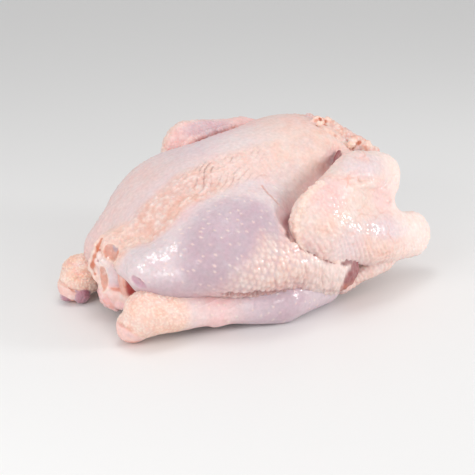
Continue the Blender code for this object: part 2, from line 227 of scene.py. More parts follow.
# Places that the looks paint or shape: centre, radii, turn and softness of the edge
NEAR_MUSCLE = ((-0.094, -0.115, 0.102), (0.062, 0.062, 0.04), (0, -30, 0), 0.24)
FAR_MUSCLE = ((-0.085, 0.11, 0.1), (0.06, 0.06, 0.036), (0, -28, 0), 0.3)
DEEP_FOLDS = ((-0.056, -0.024, 0.162), (0.032, 0.016, 0.02), (0, 0, 0), 0.4)
PULLED_SKIN = ((0.02, -0.085, 0.145), (0.045, 0.04, 0.035), (0, 0, 0), 0.4)
TAIL_ROOT = ((-0.18, -0.004, 0.098), (0.02, 0.024, 0.016))
PALE_SHOULDER = ((0.06, -0.075, 0.155), (0.06, 0.06, 0.05))
LILAC_REAR = ((-0.165, -0.07, 0.07), (0.04, 0.045, 0.035))
MUSCLE_EDGE = ((-0.094, -0.115, 0.104), (0.068, 0.066, 0.046), (0, -30, 0), 0.14)
# Painted shade on the thigh's rear end
SHADED_REAR = ((-0.165, -0.088, 0.058), (0.034, 0.03, 0.018), (0, 0, 0), 0.4)
# Painted shade under the wing's tip
SHADE_UNDER_WING = ((0.062, -0.14, 0.038), (0.024, 0.034, 0.026), (0, 0, 0), 0.15)
# Painted light on the tail's side and base
LIT_TAIL_SIDE = ((-0.19, -0.016, 0.052), (0.02, 0.02, 0.026), (0, 0, 0), 0.3)
LIT_TAIL_BASE = ((-0.192, -0.01, 0.028), (0.022, 0.03, 0.018), (0, 0, 0), 0.3)
TAIL_END = ((-0.193, -0.004, 0.022), (0.015, 0.022, 0.014), (0, 0, 0), 0.4)
WOUND_CRESCENT = ((-0.184, -0.019, 0.093), (0.0075, 0.006, 0.0065), (0, 0, 0), 0.3)
WING_BLUSH = ((0.03, -0.125, 0.14), (0.028, 0.03, 0.016), (0, -20, 0), 0.5)
FOREARM_LILAC = ((0.11, -0.135, 0.088), (0.045, 0.03, 0.012), (0, 15, 0), 0.5)
UPPER_ARM_LILAC = ((0.1, -0.115, 0.16), (0.04, 0.03, 0.012), (0, 5, 0), 0.5)
FAR_WING_PURPLE = ((0.008, 0.09, 0.174), (0.034, 0.016, 0.009), (0, 0, 0), 0.4)

# Where a film of water lies: how thick, centre, radii, turn and softness of its edge
WET_PLACES = ((1.0, (-0.164, -0.074, 0.094), (0.03, 0.028, 0.022), (0, 0, 0), 0.5),
              (1.0, (-0.187, -0.074, 0.083), (0.016, 0.024, 0.014), (0, 0, 0), 0.5),
              (0.9, (-0.043, -0.12, 0.117), (0.013, 0.015, 0.024), (0, 0, 0), 0.4),
              (0.7, (-0.196, -0.02, 0.066), (0.012, 0.022, 0.022), (0, 0, 0), 0.4))

# The wet skin's finish, with a film of water as its coat
THINNEST_FILM = 0.12
PORE_DEPTH = 0.0006
RIPPLE_DEPTH = 0.0005
SKIN_FINISH = {"Subsurface Weight": 0.25, "Subsurface Radius": (1.0, 0.4, 0.3), "Subsurface Scale": 0.003,
               "Coat Roughness": 0.12, "Coat IOR": 1.9}

# Lamps, all aimed at the bird's middle: name, place, size and power; and the even light round them
LAMPS = (("overhead", (-0.05, 0.0, 1.27), 0.45, 2.6), ("left", (-1.08, -0.24, 0.58), 0.4, 2.8),
         ("left_fill", (-1.25, -0.6, 0.75), 0.4, 1.6), ("front", (-0.4, -1.3, 0.45), 0.4, 1.8),
         ("right", (1.0, -1.0, 0.5), 0.35, 6.5))
LAMP_TARGET = (0, 0, 0.08)
SKY_STRENGTH = 0.62
FLOOR_HALF_WIDTH = 6.0
FLOOR_COLOUR = (0.87, 0.865, 0.86)

# Camera: where it stands, drawn metres, its turn about Z, its height in degrees and its lens
CAMERA_PLACE = (-0.7509, -1.0642, 0.5586)
CAMERA_AZIMUTH = -34.9
CAMERA_ELEVATION = 21.07
SENSOR_WIDTH = 36
PICTURE_WIDTH = 475
FOCAL_PIXELS = 1142.4


def srgb(red, green, blue):
    """A colour as seen, made linear."""
    return np.array([((value + 0.055) / 1.055) ** 2.4 for value in (red, green, blue)])


PEACH = srgb(0.93, 0.79, 0.74)
APRICOT = srgb(0.94, 0.76, 0.66)
PALE = srgb(0.92, 0.84, 0.83)
IVORY = srgb(0.94, 0.86, 0.83)
LILAC = srgb(0.86, 0.79, 0.82)
PURPLE = srgb(0.78, 0.68, 0.72)
PINK = srgb(0.96, 0.77, 0.77)
CREAM = srgb(0.98, 0.87, 0.81)
DOT = srgb(0.97, 0.88, 0.84)
FLESH = srgb(0.87, 0.63, 0.56)
ORANGE = srgb(0.84, 0.45, 0.3)
WHITE_FAT = srgb(0.97, 0.87, 0.85)
MAROON = srgb(0.52, 0.22, 0.24)
KNUCKLE = srgb(0.72, 0.53, 0.58)
BRUISE = srgb(0.78, 0.6, 0.66)
# Painted shade for the folds' valleys and the groove under the thigh's lip
GAP_SHADE = srgb(0.72, 0.52, 0.5)
RIM = srgb(0.95, 0.84, 0.79)


def turn_matrix(degrees):
    ax, ay, az = (math.radians(value) for value in degrees)
    about_x = np.array(((1, 0, 0), (0, math.cos(ax), -math.sin(ax)), (0, math.sin(ax), math.cos(ax))))
    about_y = np.array(((math.cos(ay), 0, math.sin(ay)), (0, 1, 0), (-math.sin(ay), 0, math.cos(ay))))
    about_z = np.array(((math.cos(az), -math.sin(az), 0), (math.sin(az), math.cos(az), 0), (0, 0, 1)))
    return about_z @ about_y @ about_x


def ellipsoid(points, centre, radii, turn=(0, 0, 0)):
    """Distance to an ellipsoid, close to exact near its skin."""
    local = (points - np.array(centre)) @ turn_matrix(turn)
    scaled = np.linalg.norm(local / np.array(radii), axis=1)
    slope = np.linalg.norm(local / np.array(radii) ** 2, axis=1) + 1e-9
    return scaled * (scaled - 1) / slope


def away_from(points, centre):
    return np.linalg.norm(points - np.array(centre), axis=1)


def limb(points, joints, radii, flat_axis=None, thickness=1.0):
    """Distance to a limb that tapers from joint to joint, flattened along flat_axis."""
    joints = np.array(joints)
    if flat_axis is not None:
        axis = np.array(flat_axis) / np.linalg.norm(flat_axis)
        middle = joints.mean(axis=0)
        stretch = np.eye(3) + np.outer(axis, axis) * (1 / thickness - 1)
        points = (points - middle) @ stretch
        joints = (joints - middle) @ stretch
    distance = None
    for start, end, first, last in zip(joints[:-1], joints[1:], radii[:-1], radii[1:]):
        run = end - start
        along = np.clip((points - start) @ run / (run @ run), 0, 1)
        radius = first + (last - first) * along * along * (3 - 2 * along)
        section = np.linalg.norm(points - start - along[:, None] * run, axis=1) - radius
        distance = section if distance is None else blend(distance, section, 0.006)
    return distance * thickness


def blend(first, second, width):
    """Union of two distances, rounded over the width."""
    share = np.clip(0.5 + 0.5 * (second - first) / width, 0, 1)
    return second + (first - second) * share - width * share * (1 - share)


def carve(solid, tool, width):
    """The solid without the tool, its edges rounded over the width."""
    return -blend(-solid, tool, width)


def ramp(values, start, end):
    """0 at start, 1 at end, smooth between them."""
    share = np.clip((values - start) / (end - start), 0, 1)
    return share * share * (3 - 2 * share)


def along_path(points, path):
    """Distance to a path, how far along it the nearest point lies, and the offset from it."""
    path = np.array(path)
    best = np.full(len(points), 9.0)
    place = np.zeros(len(points))
    offset = np.zeros((len(points), 3))
    walked = 0.0
    for start, end in zip(path[:-1], path[1:]):
        run = end - start
        length = np.linalg.norm(run)
        share = np.clip((points - start) @ run / (run @ run), 0, 1)
        aside = points - start - share[:, None] * run
        away = np.linalg.norm(aside, axis=1)
        nearer = away < best
        best[nearer] = away[nearer]
        place[nearer] = walked + share[nearer] * length
        offset[nearer] = aside[nearer]
        walked += length
    return best, place, offset


def places_along(path, spacing):
    """Points along a path, evenly spaced."""
    path = np.array(path)
    lengths = np.linalg.norm(path[1:] - path[:-1], axis=1)
    walked = np.concatenate([[0], np.cumsum(lengths)])
    stops = np.arange(0, walked[-1], spacing)
    return np.stack([np.interp(stops, walked, path[:, axis]) for axis in range(3)], 1)


def trunk(points):
    distance = blend(ellipsoid(points, *BACK), ellipsoid(points, *SHOULDERS), TRUNK_BLEND)
    for mass in (BREAST, KEEL, PELVIS):
        distance = blend(distance, ellipsoid(points, *mass), TRUNK_BLEND)
    return distance


def thigh(points, side):
    distance = None
    for mass in THIGHS[side]:
        part = ellipsoid(points, *mass)
        distance = part if distance is None else blend(distance, part, THIGH_BLEND)
    return distance


def bare_wing(points, side="near"):
    lean = WING_LEAN[side]
    upper = limb(points, UPPER_ARMS[side], UPPER_ARM_RADII[side], lean, WING_THICKNESS)
    fore = limb(points, FOREARMS[side], FOREARM_RADII[side], lean, WING_THICKNESS)
    inner = (np.array(UPPER_ARMS[side][2]) + np.array(FOREARMS[side][0])) / 2
    outer = (np.array(UPPER_ARMS[side][0]) + np.array(FOREARMS[side][1])) / 2
    web = limb(points, (inner, outer), WING_WEB_RADII, lean, WEB_THICKNESS)
    tip = limb(points, WING_TIPS[side], WING_TIP_RADII)
    folded = blend(blend(upper, fore, WING_BLEND), web, WING_BLEND)
    return blend(folded, tip, WING_CREASE)


def wing_edge(side):
    return on_skin(WING_EDGE, bare_wing) if side == "near" else FAR_WING_EDGE


def wing(points, side):
    distance = bare_wing(points, side)
    if side == "near":
        for fold, radii in zip(WING_FOLDS, WING_FOLD_RADII):
            distance = carve(distance, limb(points, on_skin(fold, bare_wing), radii), 0.005)
    for number, place in enumerate(places_along(wing_edge(side), WING_BEAD_SPACING)):
        close = near_only(points, place, BEAD_REACH)
        radius = WING_BEAD_RADIUS * BEAD_SHARES[number % len(BEAD_SHARES)]
        bead = away_from(points[close], place) - radius
        distance[close] = blend(distance[close], bead, 0.0015)
    return on_the_floor(distance, points)


def near_only(points, centre, reach):
    """Which points lie near enough to a small form to be changed by it."""
    return away_from(points, centre) < reach


def masses(points):
    """Distance to the trunk and thighs, without any detail."""
    distance = trunk(points)
    for side in ("near", "far"):
        distance = blend(distance, thigh(points, side), 0.015)
    return distance


def on_skin(path, shape):
    """The path with each point moved straight onto the shape's skin."""
    path = np.array(path)
    reach = 0.0005
    for _ in range(8):
        steps = [shape(path + reach * way) - shape(path - reach * way) for way in np.eye(3)]
        slope = np.stack(steps, 1) / (2 * reach)
        path = path - shape(path)[:, None] * slope / (slope ** 2).sum(1)[:, None]
    return path


def rump(points, distance):
    """The tail and its cut places, joined to the body's distance."""
    distance = blend(distance, limb(points, *TAIL, (1, 0, 0), 0.8), 0.006)
    distance = blend(distance, ellipsoid(points, *TAIL_WEB), 0.008)
    side_forms = ((carve, TAIL_CLEFT, 0.003), (blend, TAIL_BAND, 0.002), (blend, TAIL_SKIRT, 0.003))
    for join, path, width in side_forms:
        distance = join(distance, limb(points, *path), width)
    distance = blend(distance, ellipsoid(points, *TAIL_FLESH), 0.001)
    distance = blend(distance, limb(points, *TAIL_FOLD), 0.004)
    for centre, radius in TAIL_RUFFLES:
        distance = blend(distance, away_from(points, centre) - radius, 0.0025)
    rim_forms = ((blend, CAVITY_FLAP, 0.003), (carve, CAVITY_EDGE, 0.001), (carve, TAIL_CREASE, 0.002))
    for join, path, width in rim_forms:
        distance = join(distance, limb(points, *path), width)
    distance = carve(distance, limb(points, on_skin(NICK, masses), NICK_RADII), 0.003)
    for wound in (GLAND_WOUND, VENT_SLIT):
        distance = carve(distance, ellipsoid(points, *wound), 0.0015)
    for centre, radii in FAT_LUMPS:
        lump = ellipsoid(points, centre, radii) + 0.0007 * lattice_noise(points, 0.005, 65)
        distance = blend(distance, lump, 0.0015)
    return distance


def neck(points, distance):
    distance = blend(distance, ellipsoid(points, *NECK_RIM), 0.008)
    distance = carve(distance, limb(points, *NECK_GROOVE), 0.003)
    fold = limb(points, *NECK_FOLD)
    fold += 0.002 * lattice_noise(points, 0.011, 61) + 0.0008 * lattice_noise(points, 0.006, 62)
    distance = blend(distance, fold, 0.0015)
    for centre, radii in NECK_SHREDS:
        shred = ellipsoid(points, centre, radii) + 0.0022 * lattice_noise(points, 0.0048, 63)
        distance = blend(distance, shred, 0.0015)
    for centre, radius in NECK_PITS:
        pit = away_from(points, centre) - radius
        distance = carve(distance, pit + 0.0008 * lattice_noise(points, 0.005, 64), 0.0015)
    return distance


def body(points):
    distance = masses(points)
    rear = near_only(points, TAIL[0][1], 0.12)
    distance[rear] = rump(points[rear], distance[rear])
    front = near_only(points, NECK_FOLD[0][2], 0.11)
    distance[front] = neck(points[front], distance[front])
    upper_run = ramp(points[:, 2], 0.095, 0.125)
    cleft = limb(points, *WING_CLEFT)
    distance = carve(distance, cleft, 0.003 + WING_CLEFT_ROLL * upper_run)
    lip = points[:, 1] < -0.05
    place = along_path(points[lip], THIGH_LIP[0])[1]
    groove = limb(points[lip], *THIGH_LIP)
    scallops = ramp(place, 0.08, 0.105) * (1 - ramp(place, 0.2, 0.23))
    groove += scallops * 0.0016 * np.cos(place / LIP_BEAD_SPACING * 2 * np.pi)
    distance[lip] = carve(distance[lip], groove, 0.002)
    for strand in SKIN_STRANDS:
        distance = blend(distance, limb(points, strand, STRAND_RADII), 0.002)
    return on_the_floor(distance, points)


def drumstick(points, side):
    distance = limb(points, DRUMSTICKS[side], DRUMSTICK_RADII)
    creases = HOCK_CREASES[side]
    distance = carve(distance, limb(points, creases, [CREASE_RADIUS] * len(creases)), 0.0015)
    for centre, radii in KNUCKLES[side]:
        distance = blend(distance, ellipsoid(points, centre, radii), 0.0015)
    if side == "far":
        distance = blend(distance, ellipsoid(points, *GRISTLE), 0.0015)
    return on_the_floor(distance, points)


def on_the_floor(distance, points):
    """Flattened where the weight rests, with a small rounded edge."""
    return carve(distance, points[:, 2], 0.004)


def sampled_field(shape, low, high, cell):
    """The shape's distances on a grid: coarse everywhere, true near the skin."""
    wide = cell * ROUGH_CELLS
    counts = np.ceil((high - low) / wide).astype(int) + 1
    axes = [low[axis] + wide * np.arange(counts[axis]) for axis in range(3)]
    grid = np.stack(np.meshgrid(*axes, indexing="ij"), -1).reshape(-1, 3)
    field = shape(grid).reshape(counts)
    for axis in range(3):
        fine = np.arange((counts[axis] - 1) * ROUGH_CELLS + 1) / ROUGH_CELLS
        left = np.minimum(fine.astype(int), counts[axis] - 2)
        share = (fine - left).reshape([-1 if other == axis else 1 for other in range(3)])
        field = np.take(field, left, axis) * (1 - share) + np.take(field, left + 1, axis) * share
    near_skin = np.abs(field) < wide * 0.9
    field[near_skin] = shape(np.argwhere(near_skin) * cell + low)
    return field


def skin_vertices(field, low, cell):
    """One vertex in each grid cell that the skin crosses, at the mean of its crossings."""
    cells_wide = [size - 1 for size in field.shape]
    corners = [(i, j, k) for i in (0, 1) for j in (0, 1) for k in (0, 1)]
    inside_corners = np.zeros(cells_wide, np.int8)
    for corner in corners:
        window = tuple(slice(step, step + size) for step, size in zip(corner, cells_wide))
        inside_corners += field[window] < 0
    crossed = (inside_corners > 0) & (inside_corners < 8)
    cells = np.argwhere(crossed)
    number = np.full(crossed.shape, -1, np.int32)
    number[crossed] = np.arange(len(cells))
    values = [field[tuple((cells + corner).T)] for corner in corners]
    total = np.zeros((len(cells), 3))
    crossings = np.zeros(len(cells))
    for first, start in enumerate(corners):
        for second in range(first + 1, 8):
            run = np.array(corners[second]) - start
            if abs(run).sum() != 1:
                continue
            hit = (values[first] < 0) != (values[second] < 0)
            share = values[first][hit] / (values[first][hit] - values[second][hit])
            total[hit] += np.array(start) + share[:, None] * run
            crossings[hit] += 1
    return (cells + total / crossings[:, None]) * cell + low, number


def skin_faces(field, number):
    """A quad across each grid edge that the skin crosses, facing out."""
    inside = field < 0
    faces = []
    for axis in range(3):
        side, up = np.eye(3, dtype=int)[(axis + 1) % 3], np.eye(3, dtype=int)[(axis + 2) % 3]
        ahead = np.roll(inside, -1, axis)
        for leaving in (True, False):
            edges = np.argwhere((inside & ~ahead) if leaving else (~inside & ahead))
            ring = [number[tuple((edges - step).T)] for step in (side + up, up, 0 * up, side)]
            quads = np.stack(ring, 1)
            faces.append(quads if leaving else quads[:, ::-1])
    return np.concatenate(faces)


def point_normals(points, faces):
    """Each point's normal, the mean of the faces round it."""
    across = np.cross(points[faces[:, 2]] - points[faces[:, 0]], points[faces[:, 3]] - points[faces[:, 1]])
    normals = np.zeros_like(points)
    for corner in range(4):
        for axis in range(3):
            normals[:, axis] += np.bincount(faces[:, corner], across[:, axis], len(points))
    return normals / (np.linalg.norm(normals, axis=1)[:, None] + 1e-15)


def lattice_noise(points, size, seed):
    """Smooth noise from -1 to 1 with features about size across."""
    scaled = points / size
    base = np.floor(scaled).astype(np.int64)
    part = scaled - base
    part = part * part * (3 - 2 * part)
    total = np.zeros(len(points))
    for corner in ((i, j, k) for i in (0, 1) for j in (0, 1) for k in (0, 1)):
        weight = np.ones(len(points))
        for axis in range(3):
            weight *= part[:, axis] if corner[axis] else 1 - part[:, axis]
        total += weight * (2 * scrambled(*(base + corner).T, seed) - 1)
    return total


def scrambled(first, second, third, seed):
    """A number from 0 to 1 for each whole-numbered place, the same each run."""
    mixed = (first * 73856093) ^ (second * 19349663) ^ (third * 83492791) ^ (seed * 50331653)
    mixed = (mixed ^ (mixed >> 13)) * 1274126177 & 0x7FFFFFFF
    mixed = (mixed ^ (mixed >> 11)) * 668265263 & 0x7FFFFFFF
    return ((mixed >> 7) & 0xFFFF) / 65535


def follicles(u, v, spacing, seed, scatter=0.35):
    """Rows of follicles on skin coordinates: distance to the nearest, as a share of the
    spacing, and a random value for each."""
    row = np.round(v / (spacing * 0.866)).astype(np.int64)
    nearest = np.full(len(u), 9.0)
    which = np.zeros(len(u))
    for row_step in (-1, 0, 1):
        this_row = row + row_step
        shift = 0.5 * (this_row & 1)
        column = np.round(u / spacing - shift).astype(np.int64)
        for column_step in (-1, 0, 1):
            this_column = column + column_step
            aside = (scrambled(this_column, this_row, this_row * 0, seed) - 0.5) * scatter
            ahead = (scrambled(this_column, this_row, this_row * 0 + 1, seed) - 0.5) * scatter
            across = u / spacing - shift - this_column - aside
            along = v / spacing - this_row * 0.866 - ahead
            away = np.hypot(across, along)
            closer = away < nearest
            which = np.where(closer, scrambled(this_column, this_row, this_row * 0 + 2, seed), which)
            nearest = np.where(closer, away, nearest)
    return nearest, which


def granules(points, spacing, seed):
    """1 at the middle of granules strewn evenly in space, falling to 0 between them."""
    scaled = points / spacing
    base = np.floor(scaled).astype(np.int64)
    nearest = np.full(len(points), 9.0)
    for step in ((i, j, k) for i in (-1, 0, 1) for j in (-1, 0, 1) for k in (-1, 0, 1)):
        cell = base + step
        middles = [cell[:, axis] + scrambled(*cell.T, seed + axis) for axis in range(3)]
        nearest = np.minimum(nearest, ((scaled - np.stack(middles, 1)) ** 2).sum(1))
    return 1 - ramp(np.sqrt(nearest), 0.0, 0.75)


def on_some(chosen, form, points):
    """The form's values at the chosen points, and 0 at all others."""
    values = np.zeros(len(points))
    values[chosen] = form(points[chosen])
    return values


def skin_coordinates(points):
    """Places on the body's skin: along the bird, and round it."""
    angle = np.arctan2(points[:, 2] - SKIN_AXIS_Z, -points[:, 1])
    return points[:, 0], SKIN_AXIS_RADIUS * angle


def spot(points, centre, radii, turn=(0, 0, 0), soft=0.5):
    """1 inside an ellipsoid, fading to 0 outside over the soft share of its radius."""
    local = (points - np.array(centre)) @ turn_matrix(turn) / np.array(radii)
    return 1 - ramp(np.linalg.norm(local, axis=1), 1 - soft, 1 + soft)


def ridged(points, size, width, seed):
    """1 on the thin branching lines where the noise passes through zero."""
    return 1 - ramp(np.abs(lattice_noise(points, size, seed)), 0.0, width)


def near_form(distance, full, gone):
    """1 inside a small form and up to full outside it, 0 from gone on."""
    return 1 - ramp(distance, full, gone)


class Surface:
    """A skin's points with their colours, which are painted over in turn."""

    def __init__(self, points, base):
        self.points = points
        self.colour = np.tile(base, (len(points), 1))

    def paint(self, tint, share):
        self.colour = self.colour + (tint - self.colour) * np.clip(share, 0, 1)[:, None]

    def noise(self, size, seed):
        return lattice_noise(self.points, size, seed)

    def cloud(self, size, seed, start, end):
        """Soft-edged places, 0 where the noise is at start and 1 at end."""
        return ramp(self.noise(size, seed), start, end)

    def grains(self, where, spacing, seed, stretch=(1, 1, 1)):
        """Granules only where the share is more than next to nothing."""
        return on_some(where > FAINT, lambda chosen: granules(chosen * stretch, spacing, seed), self.points)

    def patch(self, centre, radii, turn=(0, 0, 0), soft=0.5):
        return spot(self.points, centre, radii, turn, soft)

    def near_limb(self, path, full, gone):
        return near_form(limb(self.points, *path), full, gone)

    def near_lump(self, lump, full, gone):
        return near_form(ellipsoid(self.points, *lump), full, gone)


def body_look(points):
    """How far each point of the body's skin stands out, its colour, and how wet it is."""
    surface = Surface(points, PALE)
    paint, noise, cloud, patch = surface.paint, surface.noise, surface.cloud, surface.patch
    near_limb, near_lump, grains = surface.near_limb, surface.near_lump, surface.grains
    x, y, z = points.T
    u, v = skin_coordinates(points)
    from_spine, place, offset = along_path(points, SPINE)
    across = offset[:, 1] - offset[:, 2] * 0.3
    wobble = 0.006 * noise(0.022, 1)
    tract = 1 - ramp(from_spine + wobble, SPINE_HALF_WIDTH * 0.65, SPINE_HALF_WIDTH * 1.3)

    # The lower thigh, below a line that rises from the rump to the wing
    line_z = np.interp(x, (-0.13, -0.062, -0.03, 0.08), (0.062, 0.113, 0.113, 0.085))
    dense = ramp(line_z - z + wobble, -0.01, 0.016) * ramp(np.abs(y), 0.06, 0.09)
    dense *= ramp(x, -0.14, -0.09)
    knee = dense * ramp(x, -0.03, 0.02)
    muscle = patch(*NEAR_MUSCLE)
    far_muscle = patch(*FAR_MUSCLE)
    muscle = np.maximum(muscle, 0.8 * far_muscle)
    sparse = (1 - tract) * (1 - dense) * ramp(np.abs(y), 0.03, 0.055)

    # Fine pimples of the spine's tract, its lumps and the folds across it
    pimple = grains(tract, 0.004, 2)
    lump = grains(tract, 0.0066, 43, (0.8, 1.2, 1.0))
    wrinkle = ridged(points * (1.0, 1.6, 1.0), 0.013, 0.16, 3)
    wrinkle = np.maximum(wrinkle, 0.7 * ridged(points, 0.008, 0.16, 13))
    rear_lumps = tract * ramp(-x, 0.045, 0.075)
    fold_phase = (0.52 * place + 0.85 * across) / 0.0064 + 0.9 * noise(0.02, 4)
    fold = np.abs(np.sin(fold_phase * np.pi))
    folds = tract * ramp(-x, -0.03, 0.02) * (1 - ramp(-x, 0.08, 0.115))
    folds *= cloud(0.016, 17, -0.6, 0.2)
    folds *= 0.5 + 0.5 * patch(*DEEP_FOLDS)
    rise = tract * 0.0009 * pimple
    rise += folds * 0.0018 * (ramp(fold, 0.0, 0.7) - 0.7)
    rise += rear_lumps * (0.001 * noise(0.011, 14) + 0.0013 * lump - 0.0006 * wrinkle)

    # Beads of the lower thigh, closing into ribs toward the knee
    bead, bead_kind = follicles(u * (1 + 0.25 * knee), v * (1 - 0.45 * knee) + 0.25 * u, 0.0066, 5, 0.45)
    rise += dense * (0.0011 + 0.0009 * bead_kind) * (1 - ramp(bead, 0.1, 0.55))
    slant = ridged(np.stack([u * 1.5 + v, v * 0.5, u * 0], 1), 0.011, 0.26, 6)
    low_thigh = dense * (1 - ramp(z - line_z, -0.052, -0.028))
    rise -= low_thigh * 0.0013 * slant
    fine_ribs = np.abs(np.sin((u + 0.25 * v) / 0.0034 * np.pi + 1.2 * noise(0.015, 18)))
    rise += knee * 0.0006 * (fine_ribs - 0.6)

    # Single follicles of the thinner skin, and long soft wrinkles beside the wing
    dot, dot_kind = follicles(u + 0.35 * v, v, 0.0106, 7, 0.8)
    dot = near_form(dot + 0.06 * dot_kind, 0.09, 0.21) * ramp(dot_kind, 0.05, 0.35)
    rise += sparse * 0.0006 * dot
    pulled = patch(*PULLED_SKIN)
    pull_lines = ridged(np.stack([u * 1.1 + v * 1.2, (u - v) * 0.18, u * 0], 1), 0.007, 0.25, 15)
    rise -= pulled * 0.0006 * pull_lines
    rise += 0.001 * noise(0.05, 8) + 0.0003 * noise(0.012, 9)
    roll = near_limb(NECK_FOLD, 0.002, 0.006)
    neck_grain = grains(roll, 0.0042, 67)
    rise += roll * 0.0015 * neck_grain

    # Skin of the breast's front, gathered in folds that run down from the neck
    front = ramp(x, 0.105, 0.15) * (1 - roll)
    down = 0.2 - z
    round_neck = np.arctan2(y + 0.015, down)
    gather = ridged(np.stack([round_neck * 0.05, down * 0.22, u * 0], 1), 0.0085, 0.4, 71)
    gather *= cloud(0.03, 72, -0.6, 0.3) * ramp(z, 0.05, 0.11)
    front_grain = grains(front, 0.0052, 73)
    rise += front * (0.0006 * front_grain - 0.0022 * gather + 0.0012 * noise(0.02, 74))

    # Grained skin on the tail, the tight line beside the wing, and ripples in the film of water
    tail_skin = near_limb(TAIL_FOLD, 0.002, 0.01)
    tail_skin = np.maximum(tail_skin, 0.9 * patch(*TAIL_ROOT))
    tail_grain = grains(tail_skin, 0.0036, 68)
    rise += tail_skin * 0.0007 * tail_grain
    tension = near_form(along_path(points, on_skin(TENSION_LINE, masses))[0], 0.0002, 0.0022)
    rise -= 0.0007 * tension
    wet = np.zeros(len(points))
    for share, *place_and_size in WET_PLACES:
        wet = np.maximum(wet, share * patch(*place_and_size))
    rise += wet * (0.0004 * noise(0.0045, 45) + 0.0007 * noise(0.009, 46))

    # Colours of the whole skin, then of the muscle, the tract, the folds and the lower thigh
    paint(LILAC, 0.45 * cloud(0.06, 10, -0.6, 0.8))
    paint(PINK, 0.45 * cloud(0.045, 11, -0.1, 0.9))
    paint(LILAC, 0.65 * ramp(y, -0.02, 0.03) * ramp(-x, -0.02, 0.06))
    paint(PEACH * 1.04, 0.5 * ramp(y, -0.02, 0.03) * ramp(-x, 0.04, 0.11))
    paint(IVORY, 0.7 * patch(*PALE_SHOULDER))
    paint(LILAC, 0.65 * patch(*LILAC_REAR))
    paint(LILAC * 0.92, 0.7 * patch(*MUSCLE_EDGE))
    paint(PURPLE * 0.97, 0.9 * muscle)
    paint(DOT, 0.6 * sparse * dot)
    paint(PEACH, 0.65 * tract)
    paint(LILAC * 0.95, 0.35 * tract * cloud(0.03, 44, 0.0, 0.6))
    paint(IVORY, 0.55 * tract * pimple)
    paint(APRICOT, 0.35 * rear_lumps * cloud(0.02, 12, -0.4, 0.6))
    # Flesh colour in the wrinkles and between the rear lumps: painted shade in the hollows
    paint(FLESH, 0.35 * rear_lumps * np.maximum(wrinkle * 0.8, 1 - ramp(lump, 0.05, 0.45)))
    paint(IVORY * 1.03, 0.5 * rear_lumps * ramp(lump, 0.4, 0.9))
    # Painted shade in the valleys of the folds
    paint(GAP_SHADE * 0.85, 0.75 * folds * (1 - ramp(fold, 0.0, 0.5)))
    paint(APRICOT, 0.35 * ramp(x, 0.0, 0.06) * ramp(y, -0.06, -0.02))
    paint(PEACH, 0.75 * dense)
    paint(APRICOT * 0.92, 0.55 * low_thigh)
    paint(IVORY * 1.03, 0.6 * dense * (1 - ramp(bead, 0.1, 0.45)))
    paint(PURPLE, 0.4 * dense * ramp(bead, 0.35, 0.6) * (1 - 0.5 * knee))
    paint(FLESH, 0.55 * low_thigh * slant)
    paint(PINK * 0.93, 0.4 * knee * (1 - ramp(fine_ribs, 0.1, 0.6)))
    paint(FLESH * 0.9, 0.75 * tension)
    paint(PEACH, 0.5 * front)
    paint(LILAC, 0.6 * front * cloud(0.04, 75, 0.0, 0.6))
    paint(IVORY * 1.02, 0.4 * front * front_grain)
    paint(FLESH * 1.1, 0.4 * front * gather)

    # Painted shade toward the underside and on the thigh's rear end, and painted light on the pale knee
    paint(PURPLE * 0.97, 0.35 * (1 - ramp(z, 0.045, 0.08)) * ramp(-y, 0.06, 0.09))
    paint(IVORY * 1.08, 0.75 * knee)
    paint(PURPLE * 0.92, 0.65 * patch(*SHADED_REAR))

    # Cut and torn places, with painted shade in the gaps beside and under the wing, under the thigh's lip
    # and by the tail, and painted light on the tail's side
    # Pink, then maroon, along the cleft beside the wing: painted shade rolling into the gap, over the red
    # of the flesh
    cleft = limb(points, *WING_CLEFT)
    upper_run = ramp(z, 0.095, 0.125)
    paint(PINK * 0.9, 0.4 * upper_run * near_form(cleft, 0.002, 0.01))
    paint(MAROON * 1.1, 0.9 * near_form(cleft, -0.002, 0.001 + 0.003 * upper_run))
    # Maroon on the body next to the wing: painted shade in the gap under the wing's edge, over red flesh,
    # broken into patches low down
    beside_wing = on_some(y < -0.05, lambda chosen: near_form(bare_wing(chosen), 0.001, 0.005), points)
    broken_gap_shade = cloud(0.007, 47, -0.5, 0.2)
    paint(MAROON, 0.85 * beside_wing * ramp(z, 0.03, 0.05) * np.maximum(broken_gap_shade, upper_run))
    # Maroon under the wing's tip, orange toward the floor: painted shade beneath the wing, over red flesh
    shaded_under_wing = patch(*SHADE_UNDER_WING)
    paint(MAROON * 1.2, 0.9 * shaded_under_wing)
    paint(ORANGE * 0.9, 0.6 * shaded_under_wing * (1 - ramp(z, 0.028, 0.04)))
    # Grey-brown in the groove under the thigh's lip, darker maroon toward its rear: painted shade in the
    # groove
    lip = near_limb(THIGH_LIP, 0.0, 0.002)
    paint(GAP_SHADE, 0.8 * lip)
    paint(MAROON * 1.4, 0.6 * lip * (1 - ramp(x, -0.17, -0.11)))
    gap = limb(points, *TAIL_CLEFT)
